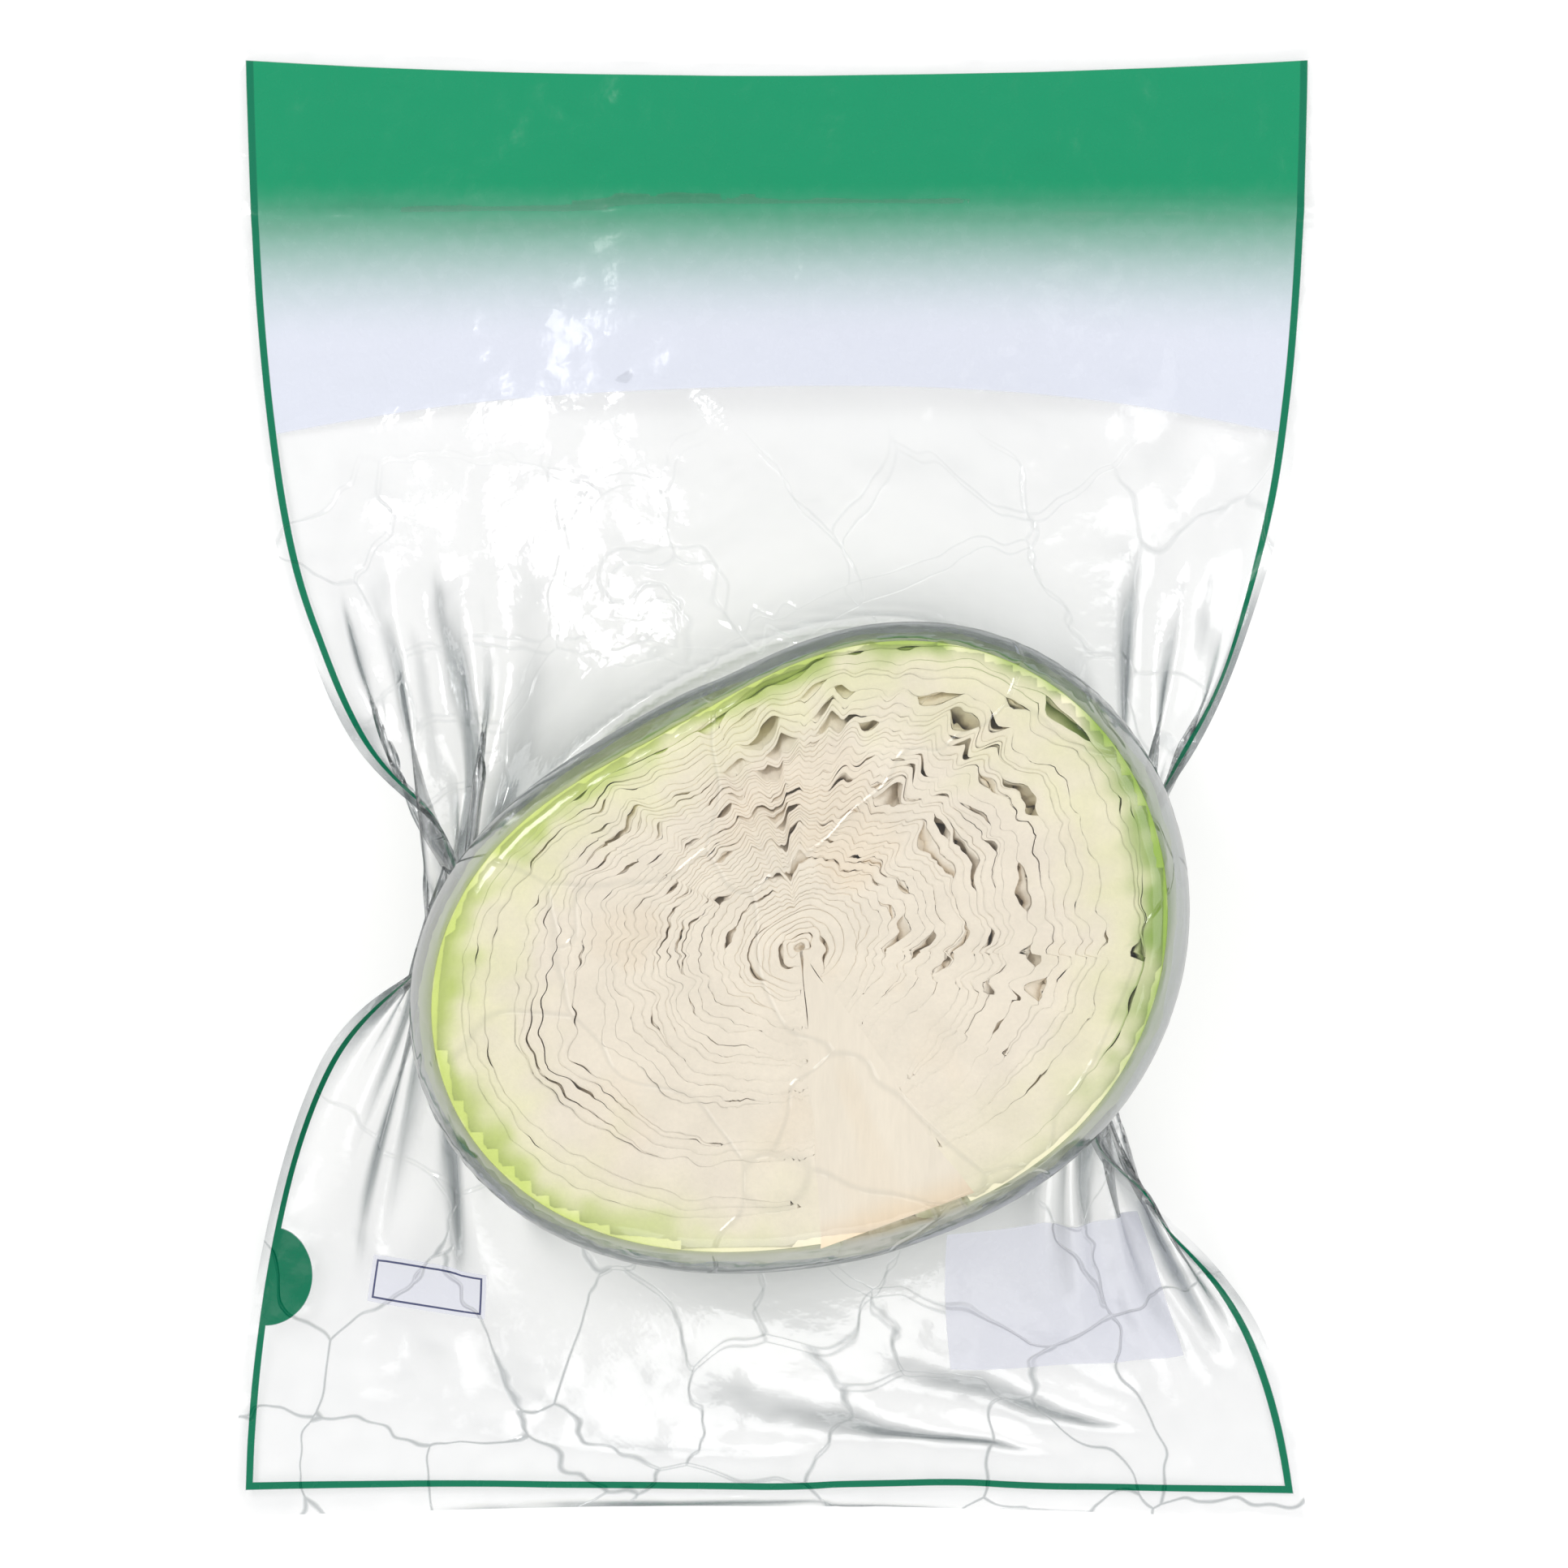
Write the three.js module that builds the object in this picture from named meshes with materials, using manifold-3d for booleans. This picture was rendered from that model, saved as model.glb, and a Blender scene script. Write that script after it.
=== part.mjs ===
// Half a white cabbage, cut through its core and sealed flat side up in a clear vacuum bag.
// The head is a core with leaves wrapped round it in a spiral, each one a thin shell of its own.
// The bag is two sheets of film that meet in a flange all round the head.
//
// Units are millimetres. +Z is up and +Y runs from the bag's bottom seal to its header.
// The origin is the middle of the bag's outline, on the surface that it lies on.

import * as THREE from "three";
import Module from "manifold-3d";

const wasm = await Module();
wasm.setup();

// ---- Driving dimensions ----

const LEAF_COUNT = 40;
const LEAN = THREE.MathUtils.degToRad(20); // the core leans to the left of the bag's long axis
const HEAD_CENTRE = new THREE.Vector2(6, -42);
const HEAD_DEPTH = 96; // from the cut face to the round back, before the back flattens
const RESTING_DEPTH = 92; // where the back is flattened by its own weight
const EDGE_TUCK = 0.1; // the bag pulls the outer leaves' edges inwards at the cut face
const TUCK_REACH = 0.16;
const GAP = 0.3; // between neighbouring pieces

const CORE_HALF_ANGLE = THREE.MathUtils.degToRad(13.5);
const CORE_TIP = 12; // from the middle of the head
const STEM_SHARE = 0.92; // where the stem is cut off, as a share of the outline's radius
const HEART_RADIUS = 7.6;
const HEART_SHARE = 0.12; // of the head's radius, inside the first leaf

const GOLDEN_ANGLE = 137.5; // degrees from one leaf's root to the next one's
const FIRST_ROOT = 20;
const ROOT_HALF_WIDTH = 50; // degrees of the core that a leaf's foot holds on to
const FAR_MARGIN = 138; // degrees from the stem, on the side away from the root
const RIB_WEIGHT = 3;
const RIB_REACH = 45; // degrees over which a rib dies out up the leaf
const RIB_SPREAD = 50; // and to each side of its root

const BAG_WIDTH = 289;
const BAG_LENGTH = 400;
const BAG_WAIST = 50; // how far each side is drawn in beside the head
const WAIST_LENGTH = 95;
const FILM = 0.4;
const SEAM_HEIGHT = 39; // of the flange, where it leaves the head
const FLANGE_LEAST = 8;
const FLANGE_SLOPE = 0.5;

const CUT_HEIGHT = FILM + GAP + RESTING_DEPTH;

// ---- The head's outer form ----

// Radius of the widest outline seen square to the cut face. The angle starts at the broad side and the
// stem is at -90 degrees.
function outlineRadius(angle) {
  const round = 95 + 1.9 * Math.cos(angle) - 4.7 * Math.sin(angle);
  const oval = 14.7 * Math.cos(2 * angle) + 1.7 * Math.sin(2 * angle);
  const uneven = -2.6 * Math.cos(3 * angle) + 1.2 * Math.sin(3 * angle);
  return round + oval + uneven;
}

// A direction from the middle of the cut face. polar is measured from the stem, and turn runs round the
// core from the left edge of the cut face (0), under the head, to its right edge (PI).
function direction(polar, turn) {
  return new THREE.Vector3(
    -Math.sin(polar) * Math.cos(turn),
    -Math.cos(polar),
    -Math.sin(polar) * Math.sin(turn),
  );
}

function headRadius(polar, turn) {
  const side = Math.cos(turn) >= 0 ? -1 : 1;
  const across = outlineRadius(Math.atan2(-Math.cos(polar), side * Math.sin(polar)));
  const along = outlineRadius(Math.cos(polar) >= 0 ? -Math.PI / 2 : Math.PI / 2);
  const deep = 1 / Math.hypot(Math.sin(polar) / HEAD_DEPTH, Math.cos(polar) / along);
  const full = 1 / Math.hypot(Math.cos(turn) / across, Math.sin(turn) / deep);
  const drop = Math.sin(polar) * Math.sin(turn);
  const tucked = full * (1 - EDGE_TUCK * Math.exp(-((drop / TUCK_REACH) ** 2)));
  return Math.min(tucked, RESTING_DEPTH / Math.max(drop, 1e-6));
}

// ---- Leaves ----

const ROWS = [15, 23, 34, 48, 65, 84, 104, 124, 144, 163]; // degrees from the stem
const COLUMNS = 9;
const degrees = THREE.MathUtils.radToDeg;
const radians = THREE.MathUtils.degToRad;

// Degrees round the core between a place and the leaf's root.
function fromRoot(leaf, turn) {
  const root = FIRST_ROOT + leaf * GOLDEN_ANGLE;
  const apart = (((degrees(turn) - root) % 360) + 360) % 360;
  return Math.min(apart, 360 - apart);
}

// A leaf starts at the core beside its root and reaches over the top on the other side.
function marginPolar(leaf, turn) {
  const away = THREE.MathUtils.smoothstep(fromRoot(leaf, turn), ROOT_HALF_WIDTH, 180);
  return THREE.MathUtils.lerp(ROWS[0], FAR_MARGIN, away);
}

// The share of the head's radius that a leaf takes: most at the foot of its rib, least at its margin.
function leafWeight(leaf, polarDegrees, turn) {
  const margin = marginPolar(leaf, turn);
  if (polarDegrees < margin - 0.01) return 0;
  const up = (polarDegrees - ROWS[0]) / RIB_REACH;
  const rib = Math.exp(-up - (fromRoot(leaf, turn) / RIB_SPREAD) ** 2);
  const blade = 0.6 + 0.4 * THREE.MathUtils.smoothstep(polarDegrees, margin, margin + 25);
  const age = 0.7 + 0.5 * (leaf / LEAF_COUNT);
  return age * (blade + RIB_WEIGHT * rib);
}

// Inner and outer radius of each leaf at one direction, from the heart outwards, null where it is absent.
function leafRadii(polarDegrees, turn) {
  const weights = Array.from({ length: LEAF_COUNT }, (_, leaf) => leafWeight(leaf, polarDegrees, turn));
  const total = weights.reduce((sum, weight) => sum + weight, 0);
  const radius = headRadius(radians(polarDegrees), turn);
  const room = radius * (1 - HEART_SHARE);
  let reached = radius * HEART_SHARE;
  return weights.map((weight) => {
    if (weight === 0) return null;
    const inner = reached + GAP;
    reached += (room * weight) / total;
    return { inner, outer: reached };
  });
}

// The grid of directions that all leaves share, so that neighbours nest facet on facet. The last point is
// the top of the head, where all columns meet.
const grid = [];
for (let column = 0; column < COLUMNS; column++) {
  const turn = (Math.PI * column) / (COLUMNS - 1);
  for (const row of ROWS) {
    grid.push({ toward: direction(radians(row), turn), radii: leafRadii(row, turn) });
  }
}
grid.push({ toward: direction(Math.PI, 0), radii: leafRadii(180, 0) });
const TOP = grid.length - 1;

// Triangles of the grid, facing away from the middle of the head.
const gridTriangles = [];
for (let column = 0; column < COLUMNS - 1; column++) {
  for (let row = 0; row < ROWS.length - 1; row++) {
    const a = column * ROWS.length + row;
    const b = a + ROWS.length;
    gridTriangles.push([a, a + 1, b], [b, a + 1, b + 1]);
  }
  const last = column * ROWS.length + ROWS.length - 1;
  gridTriangles.push([last, TOP, last + ROWS.length]);
}

// Closes a sheet of triangles into a solid: its outer side, its inner side and a wall along its edge.
function closedShell(triangles, outerPoint, innerPoint) {
  const positions = [];
  const push = (...points) => points.forEach((p) => positions.push(p.x, p.y, p.z));
  const edges = new Set(triangles.flatMap(([a, b, c]) => [`${a},${b}`, `${b},${c}`, `${c},${a}`]));
  for (const [a, b, c] of triangles) {
    push(outerPoint(a), outerPoint(b), outerPoint(c));
    push(innerPoint(c), innerPoint(b), innerPoint(a));
    for (const [from, to] of [
      [a, b],
      [b, c],
      [c, a],
    ]) {
      if (edges.has(`${to},${from}`)) continue;
      push(outerPoint(from), innerPoint(from), innerPoint(to));
      push(outerPoint(from), innerPoint(to), outerPoint(to));
    }
  }
  const geometry = new THREE.BufferGeometry();
  geometry.setAttribute("position", new THREE.Float32BufferAttribute(positions, 3));
  geometry.computeVertexNormals();
  return geometry;
}

function leafGeometry(leaf) {
  const present = gridTriangles.filter((corners) => corners.every((i) => grid[i].radii[leaf]));
  const at = (i, side) => grid[i].toward.clone().multiplyScalar(grid[i].radii[leaf][side]);
  return closedShell(
    present,
    (i) => at(i, "outer"),
    (i) => at(i, "inner"),
  );
}

// ---- Core and heart ----

// Keeps the half of a closed geometry that lies below the cut face.
function cutInHalf(geometry) {
  const toSolid = (shape) => {
    const bare = mergedPositions(shape);
    return new wasm.Manifold(
      new wasm.Mesh({
        numProp: 3,
        vertProperties: bare.positions,
        triVerts: bare.triangles,
      }),
    );
  };
  const block = new THREE.BoxGeometry(400, 400, 200).translate(0, 0, 100);
  const mesh = toSolid(geometry).subtract(toSolid(block)).getMesh();
  const half = new THREE.BufferGeometry();
  half.setAttribute("position", new THREE.BufferAttribute(mesh.vertProperties, 3));
  half.setIndex(new THREE.BufferAttribute(mesh.triVerts, 1));
  const faceted = half.toNonIndexed();
  faceted.computeVertexNormals();
  return faceted;
}

// Vertices that share a place become one, which a solid needs, and triangles with no area go.
function mergedPositions(geometry) {
  const source = geometry.index ? geometry.toNonIndexed() : geometry;
  const place = source.getAttribute("position");
  const known = new Map();
  const positions = [];
  const corners = [];
  for (let i = 0; i < place.count; i++) {
    const point = [place.getX(i), place.getY(i), place.getZ(i)];
    const key = point.map((value) => Math.round(value * 1e3)).join(",");
    if (!known.has(key)) {
      known.set(key, positions.length / 3);
      positions.push(...point);
    }
    corners.push(known.get(key));
  }
  const triangles = [];
  for (let i = 0; i < corners.length; i += 3) {
    const [a, b, c] = corners.slice(i, i + 3);
    if (a !== b && b !== c && c !== a) triangles.push(a, b, c);
  }
  return { positions: new Float32Array(positions), triangles: new Uint32Array(triangles) };
}

function coreGeometry() {
  const foot = outlineRadius(-Math.PI / 2) * STEM_SHARE;
  const widening = Math.tan(CORE_HALF_ANGLE);
  const profile = [
    new THREE.Vector2(0, -foot),
    new THREE.Vector2(foot * widening - 1, -foot),
    new THREE.Vector2(foot * widening, -foot + 2),
    new THREE.Vector2(CORE_TIP * widening, -CORE_TIP),
    new THREE.Vector2(0, -CORE_TIP + 2),
  ];
  return cutInHalf(new THREE.LatheGeometry(profile, 24));
}

function heartGeometry() {
  return cutInHalf(new THREE.SphereGeometry(HEART_RADIUS, 16, 10));
}

// ---- Bag ----

// Shares of the head's outline from its middle outwards, and shares of the way from there to the edge.
const OVER_HEAD = [0.3, 0.55, 0.75, 0.88, 0.95, 0.995, 1.035, 1.07];
const OVER_FLANGE = [0.3, 0.65, 1];
const SPOKES = 36;
const FALL_START = 0.96; // the front film lies flat on the cut face up to this share
const FRONT_FALL = 22; // and comes down beside the head by this much before the seam
const BACK_SLACK = 3; // between the back film and the round of the head

// Distance from the middle of the head to the edge of the drawn-in bag.
function edgeDistance(angle) {
  const toward = new THREE.Vector2(Math.cos(angle), Math.sin(angle));
  let distance = 0;
  const inside = (length) => {
    const x = HEAD_CENTRE.x + toward.x * length;
    const y = HEAD_CENTRE.y + toward.y * length;
    const waist = BAG_WAIST * Math.exp(-(((y - HEAD_CENTRE.y) / WAIST_LENGTH) ** 2));
    return Math.abs(y) <= BAG_LENGTH / 2 && Math.abs(x) <= BAG_WIDTH / 2 - waist;
  };
  for (let step = 64; step > 0.01; step /= 2) {
    while (inside(distance + step)) distance += step;
  }
  return distance;
}

// Underside of the back film, at a share of the head's outline. It follows the head up from the flat
// where the bag rests, and leaves it at the level of the seam.
function backHeight(share) {
  const round = HEAD_DEPTH * Math.sqrt(Math.max(0, 1 - share ** 2));
  return THREE.MathUtils.clamp(CUT_HEIGHT - BACK_SLACK - round, 0, SEAM_HEIGHT);
}

// Underside of the front film over the head.
function frontHeight(share) {
  const fall = THREE.MathUtils.smoothstep(share, FALL_START, OVER_HEAD.at(-1));
  return CUT_HEIGHT + GAP - FRONT_FALL * fall;
}

const cornerAngles = [-1, 1].flatMap((sideX) =>
  [-1, 1].map((sideY) =>
    Math.atan2((sideY * BAG_LENGTH) / 2 - HEAD_CENTRE.y, (sideX * BAG_WIDTH) / 2 - HEAD_CENTRE.x),
  ),
);
const spokeAngles = Array.from({ length: SPOKES }, (_, i) => -Math.PI + ((i + 0.5) * 2 * Math.PI) / SPOKES)
  .concat(cornerAngles)
  .sort((a, b) => a - b);

// Both sheets share one grid: the middle point, then for each spoke the rings from the head to the edge.
const RINGS = OVER_HEAD.length + OVER_FLANGE.length;
const filmGrid = [{ x: HEAD_CENTRE.x, y: HEAD_CENTRE.y, front: frontHeight(0), back: 0 }];
for (const angle of spokeAngles) {
  const outline = outlineRadius(angle - LEAN);
  const add = (distance, front, back) =>
    filmGrid.push({
      x: HEAD_CENTRE.x + Math.cos(angle) * distance,
      y: HEAD_CENTRE.y + Math.sin(angle) * distance,
      front,
      back,
    });
  for (const share of OVER_HEAD) {
    const isSeam = share === OVER_HEAD.at(-1);
    const back = backHeight(share);
    const front = isSeam ? back + FILM + GAP : frontHeight(share);
    add(outline * share, front, back);
  }
  const seam = outline * OVER_HEAD.at(-1);
  const edge = Math.max(edgeDistance(angle), seam + FLANGE_LEAST);
  for (const share of OVER_FLANGE) {
    const distance = THREE.MathUtils.lerp(seam, edge, share);
    const back = Math.max(0, SEAM_HEIGHT - (distance - seam) * FLANGE_SLOPE);
    add(distance, back + FILM + GAP, back);
  }
}

const filmTriangles = [];
for (let spoke = 0; spoke < spokeAngles.length; spoke++) {
  const a = 1 + spoke * RINGS;
  const b = 1 + ((spoke + 1) % spokeAngles.length) * RINGS;
  filmTriangles.push([0, a, b]);
  for (let ring = 0; ring < RINGS - 1; ring++) {
    filmTriangles.push([a + ring, a + ring + 1, b + ring], [b + ring, a + ring + 1, b + ring + 1]);
  }
}

function filmGeometry(sheet) {
  const at = (i, lift) => new THREE.Vector3(filmGrid[i].x, filmGrid[i].y, filmGrid[i][sheet] + lift);
  return closedShell(
    filmTriangles,
    (i) => at(i, FILM),
    (i) => at(i, 0),
  );
}

// ---- Materials ----

const leafColours = {
  inner: new THREE.Color(0xf6efd6),
  middle: new THREE.Color(0xe9ebb4),
  outer: new THREE.Color(0xa9c25a),
};

function leafMaterial(leaf) {
  const share = leaf / (LEAF_COUNT - 1);
  const colour = leafColours.inner.clone().lerp(leafColours.middle, share);
  if (share > 0.8) colour.lerp(leafColours.outer, (share - 0.8) / 0.2);
  return new THREE.MeshStandardMaterial({ color: colour, roughness: 0.45, metalness: 0 });
}

const coreMaterial = new THREE.MeshStandardMaterial({ color: 0xf7efdc, roughness: 0.5, metalness: 0 });
const filmMaterial = new THREE.MeshStandardMaterial({
  color: 0xf4fbf7,
  roughness: 0.12,
  metalness: 0,
  transparent: true,
  opacity: 0.3,
});

// ---- Assembly ----

function named(name, geometry, material) {
  const mesh = new THREE.Mesh(geometry, material);
  mesh.name = name;
  return mesh;
}

const head = new THREE.Group();
head.position.set(HEAD_CENTRE.x, HEAD_CENTRE.y, CUT_HEIGHT);
head.rotation.z = LEAN;
head.add(named("core", coreGeometry(), coreMaterial));
head.add(named("heart", heartGeometry(), coreMaterial));
for (let leaf = 0; leaf < LEAF_COUNT; leaf++) {
  const number = String(leaf + 1).padStart(2, "0");
  head.add(named(`leaf_${number}`, leafGeometry(leaf), leafMaterial(leaf)));
}

const cabbage = new THREE.Group();
cabbage.add(head);
cabbage.add(named("back_film", filmGeometry("back"), filmMaterial));
cabbage.add(named("front_film", filmGeometry("front"), filmMaterial));

export default cabbage;
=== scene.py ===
"""Half a white cabbage in its clear vacuum bag: the finished look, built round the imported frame.

Lengths are in millimetres while a piece is shaped and in metres once it is a mesh.
"""

import itertools
import math

import bpy
import numpy as np
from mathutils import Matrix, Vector


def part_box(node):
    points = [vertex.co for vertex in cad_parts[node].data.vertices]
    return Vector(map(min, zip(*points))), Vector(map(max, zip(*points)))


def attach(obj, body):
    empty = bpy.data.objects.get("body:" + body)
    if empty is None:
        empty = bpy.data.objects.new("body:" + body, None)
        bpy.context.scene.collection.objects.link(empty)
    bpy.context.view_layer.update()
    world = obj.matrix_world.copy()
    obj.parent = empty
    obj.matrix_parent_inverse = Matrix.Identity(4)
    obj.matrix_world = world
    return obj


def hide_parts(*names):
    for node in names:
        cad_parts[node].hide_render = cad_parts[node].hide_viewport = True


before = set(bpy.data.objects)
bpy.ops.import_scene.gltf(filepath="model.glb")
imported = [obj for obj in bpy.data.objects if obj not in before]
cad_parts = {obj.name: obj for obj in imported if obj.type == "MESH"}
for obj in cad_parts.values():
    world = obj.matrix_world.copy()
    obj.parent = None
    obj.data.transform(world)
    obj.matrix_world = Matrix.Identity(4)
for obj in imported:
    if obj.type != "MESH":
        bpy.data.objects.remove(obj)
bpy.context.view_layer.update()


# ---------------------------------------------------------------------------------------------
# Core
# The stalk that every leaf grows from: a pale, dense cone, halved lengthways by the knife and
# trimmed square at the stem. Fibres run up it, and leaf feet fan out of both its sides.
# ---------------------------------------------------------------------------------------------

MM = 0.001
LEAN = math.radians(20)
CORE_HALF_ANGLE = 13.5
CORE_TIP = 1.0
STEM_SHARE = 0.88

heart_low, heart_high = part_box("heart")
cut_height = heart_high.z / MM
head_middle = np.array([(heart_low.x + heart_high.x) / 2, (heart_low.y + heart_high.y) / 2]) / MM


def outline_radius(angle):
    """The head's widest outline seen square to the cut face, with the stem at -90 degrees."""
    round_part = 95 + 1.9 * np.cos(angle) - 4.7 * np.sin(angle)
    oval = 14.7 * np.cos(2 * angle) + 1.7 * np.sin(2 * angle)
    return round_part + oval - 2.6 * np.cos(3 * angle) + 1.2 * np.sin(3 * angle)


def in_frame(points):
    """Points of the upright head, from the middle of its cut face, as places in the frame."""
    cos, sin = math.cos(LEAN), math.sin(LEAN)
    x = head_middle[0] + cos * points[..., 0] - sin * points[..., 1]
    y = head_middle[1] + sin * points[..., 0] + cos * points[..., 1]
    return np.stack([x, y, cut_height + points[..., 2]], -1) * MM


lattice = np.random.default_rng(7).uniform(-1, 1, (32, 32, 32))


def noise(points, size, seed=0):
    """Smooth noise from -1 to 1 with lumps of that size, in millimetres."""
    spot = points / size + seed * np.array([3.17, 7.31, 5.73])
    cell = np.floor(spot).astype(int)
    part = spot - cell
    part = part**3 * (part * (part * 6 - 15) + 10)
    total = 0.0
    for corner in itertools.product((0, 1), repeat=3):
        weight = np.prod(np.where(corner, part, 1 - part), -1)
        x, y, z = np.moveaxis((cell + corner) & 31, -1, 0)
        total = total + weight * lattice[x, y, z]
    return total


def smooth_step(value, start, end):
    share = np.clip((value - start) / (end - start), 0, 1)
    return share * share * (3 - 2 * share)


def new_piece(name, points, faces, colours, material, node):
    """A smooth mesh in the frame that stands for one CAD node."""
    mesh = bpy.data.meshes.new(name)
    mesh.from_pydata(points.tolist(), [], faces)
    mesh.validate()
    tint = mesh.color_attributes.new("tint", "FLOAT_COLOR", "POINT")
    tint.data.foreach_set("color", np.column_stack([colours, np.ones(len(colours))]).ravel())
    mesh.polygons.foreach_set("use_smooth", np.ones(len(mesh.polygons), bool))
    mesh.materials.append(material)
    piece = bpy.data.objects.new(name, mesh)
    bpy.context.scene.collection.objects.link(piece)
    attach(piece, "root")
    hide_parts(node)
    return piece


def add_node(tree, kind, inputs=None, **settings):
    node = tree.nodes.new(kind)
    for name, value in settings.items():
        setattr(node, name, value)
    for name, value in (inputs or {}).items():
        if isinstance(value, bpy.types.NodeSocket):
            tree.links.new(value, node.inputs[name])
        else:
            node.inputs[name].default_value = value
    return node


def plant_material(name, fibre_size, bump_height, roughness, stretched=False):
    """Moist leaf flesh: the tint painted on the mesh, broken up by pale fibres and faint blotches."""
    material = bpy.data.materials.new(name)
    material.use_nodes = True
    tree = material.node_tree
    shader = tree.nodes["Principled BSDF"]
    tint = add_node(tree, "ShaderNodeVertexColor", layer_name="tint").outputs["Color"]
    place = add_node(tree, "ShaderNodeTexCoord").outputs["Object"]
    if stretched:
        place = add_node(
            tree, "ShaderNodeMapping", {"Vector": place, "Rotation": (0, 0, -LEAN), "Scale": (1, 0.12, 1)}
        ).outputs[0]
    blotch = add_node(
        tree, "ShaderNodeTexNoise", {"Vector": place, "Scale": 90.0, "Detail": 1.0}
    )
    fibre = add_node(
        tree,
        "ShaderNodeTexNoise",
        {"Vector": place, "Scale": fibre_size, "Detail": 2.0, "Roughness": 0.7},
    )
    shade = add_node(
        tree, "ShaderNodeMapRange", {"Value": blotch.outputs["Fac"], "To Min": 0.9, "To Max": 1.06}
    )
    grain = add_node(
        tree, "ShaderNodeMapRange", {"Value": fibre.outputs["Fac"], "To Min": 0.93, "To Max": 1.05}
    )
    both = add_node(tree, "ShaderNodeMath", {0: shade.outputs[0], 1: grain.outputs[0]}, operation="MULTIPLY")
    colour = add_node(tree, "ShaderNodeVectorMath", {0: tint, "Scale": both.outputs[0]}, operation="SCALE")
    bump = add_node(
        tree,
        "ShaderNodeBump",
        {"Height": fibre.outputs["Fac"], "Strength": 0.5, "Distance": bump_height * MM},
    )
    gloss = add_node(
        tree,
        "ShaderNodeMapRange",
        {"Value": fibre.outputs["Fac"], "To Min": roughness - 0.08, "To Max": roughness + 0.12},
    )
    tree.links.new(colour.outputs[0], shader.inputs["Base Color"])
    tree.links.new(bump.outputs[0], shader.inputs["Normal"])
    tree.links.new(gloss.outputs[0], shader.inputs["Roughness"])
    return material


CREAM = np.array([0.92, 0.83, 0.69])
core_material = plant_material("core flesh", 700.0, 0.3, 0.42, stretched=True)

core_foot = outline_radius(-math.pi / 2) * STEM_SHARE
core_steps = np.linspace(CORE_TIP, core_foot, 110)
core_turns = np.radians(np.linspace(0, 180, 37))
core_across = np.linspace(-1, 1, 41)
core_width = core_steps * math.tan(math.radians(CORE_HALF_ANGLE + 2.0))


def waver(points):
    """Moves the core's sides in and out a little on their way up."""
    side = np.sign(points[..., 0]) * np.abs(points[..., 0]) / core_width[:, None]
    level = np.stack([9 * np.sign(points[..., 0]), points[..., 1], 0 * points[..., 1]], -1)
    points[..., 0] += side * 1.3 * noise(level, 9.0, 3)
    return points


core_round = np.stack(
    [
        -core_width[:, None] * np.cos(core_turns),
        -core_steps[:, None] + 0 * core_turns,
        -core_width[:, None] * np.sin(core_turns),
    ],
    -1,
)
core_flat = np.stack(
    [
        core_width[:, None] * core_across,
        -core_steps[:, None] + 0 * core_across,
        np.zeros((len(core_steps), len(core_across))),
    ],
    -1,
)
core_flat[..., 2] = 0.04 * noise(core_flat, 7.0, 5) * (1 - core_across**4)
core_round, core_flat = waver(core_round), waver(core_flat)


def grid_faces(rows, columns, start, flip=False):
    """Four-cornered faces of a grid of points numbered row by row from start."""
    corner = start + np.arange(rows - 1)[:, None] * columns + np.arange(columns - 1)
    faces = np.stack([corner, corner + 1, corner + columns + 1, corner + columns], -1).reshape(-1, 4)
    return (faces[:, ::-1] if flip else faces).tolist()


core_points = np.concatenate([core_round.reshape(-1, 3), core_flat.reshape(-1, 3)])
core_faces = grid_faces(len(core_steps), len(core_turns), 0)
core_faces += grid_faces(len(core_steps), len(core_across), core_round[..., 0].size, flip=True)
stem_rim = np.arange(core_round[..., 0].size - len(core_turns), core_round[..., 0].size).tolist()
core_faces.append(stem_rim)
TAN = np.array([0.86, 0.68, 0.46])
core_cut = smooth_step(-core_points[:, 1], core_foot - 9, core_foot + 1)
core_cut += 0.22 * smooth_step(noise(core_points * [1, 0.35, 1], 8.0, 6), 0.05, 0.8)
core_colours = CREAM + (TAN - CREAM) * (0.8 * np.minimum(core_cut, 1))[:, None]
new_piece("core", in_frame(core_points), core_faces, core_colours, core_material, "core")


# ---------------------------------------------------------------------------------------------
# Leaves
# Thin cupped shells that wrap the core in a spiral, the youngest innermost. Each has a thick pale
# rib at its foot and thins to a crinkled margin. The knife cuts them all at one level.
# ---------------------------------------------------------------------------------------------

LEAF_COUNT = 40
BUD_LEAVES = 6
OUTER_LEAVES = 6
GOLDEN_ANGLE = 137.5
FIRST_ROOT = 20
ROOT_HALF_WIDTH = 50
FAR_MARGIN = 138
RIB_WEIGHT = 5.0
RIB_REACH = 45
RIB_SPREAD = 50
HEART_SHARE = 0.12
BUD_SHARE = 0.015
HEAD_DEPTH = 96.0
RESTING_DEPTH = 92.0
EDGE_TUCK = 0.1
TUCK_REACH = 0.16
LEAST_GAP = 0.03
YELLOW = np.array([0.89, 0.86, 0.55])
GREEN = np.array([0.56, 0.66, 0.18])
DEEP_GREEN = np.array([0.20, 0.36, 0.04])
PEACH = np.array([0.90, 0.74, 0.54])

polar = np.arange(14.0, 179.9, 0.4)
near_cut = np.array([0, 0.6, 1.5, 3.5, 8, 18, 34, 52, 70])
coarse_turns = np.concatenate([near_cut, [90], 180 - near_cut[::-1]])
turns = np.unique(np.round(np.concatenate([coarse_turns, np.arange(2, 179, 2.0)]), 3))
cut_columns = np.searchsorted(turns, coarse_turns)
polar_grid, turn_grid = np.meshgrid(polar, turns, indexing="ij")


def toward(polar_angle, turn):
    """Directions from the middle of the cut face, both angles in degrees."""
    p, t = np.radians(polar_angle), np.radians(turn)
    return np.stack([-np.sin(p) * np.cos(t), -np.cos(p) + 0 * t, -np.sin(p) * np.sin(t)], -1)


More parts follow.
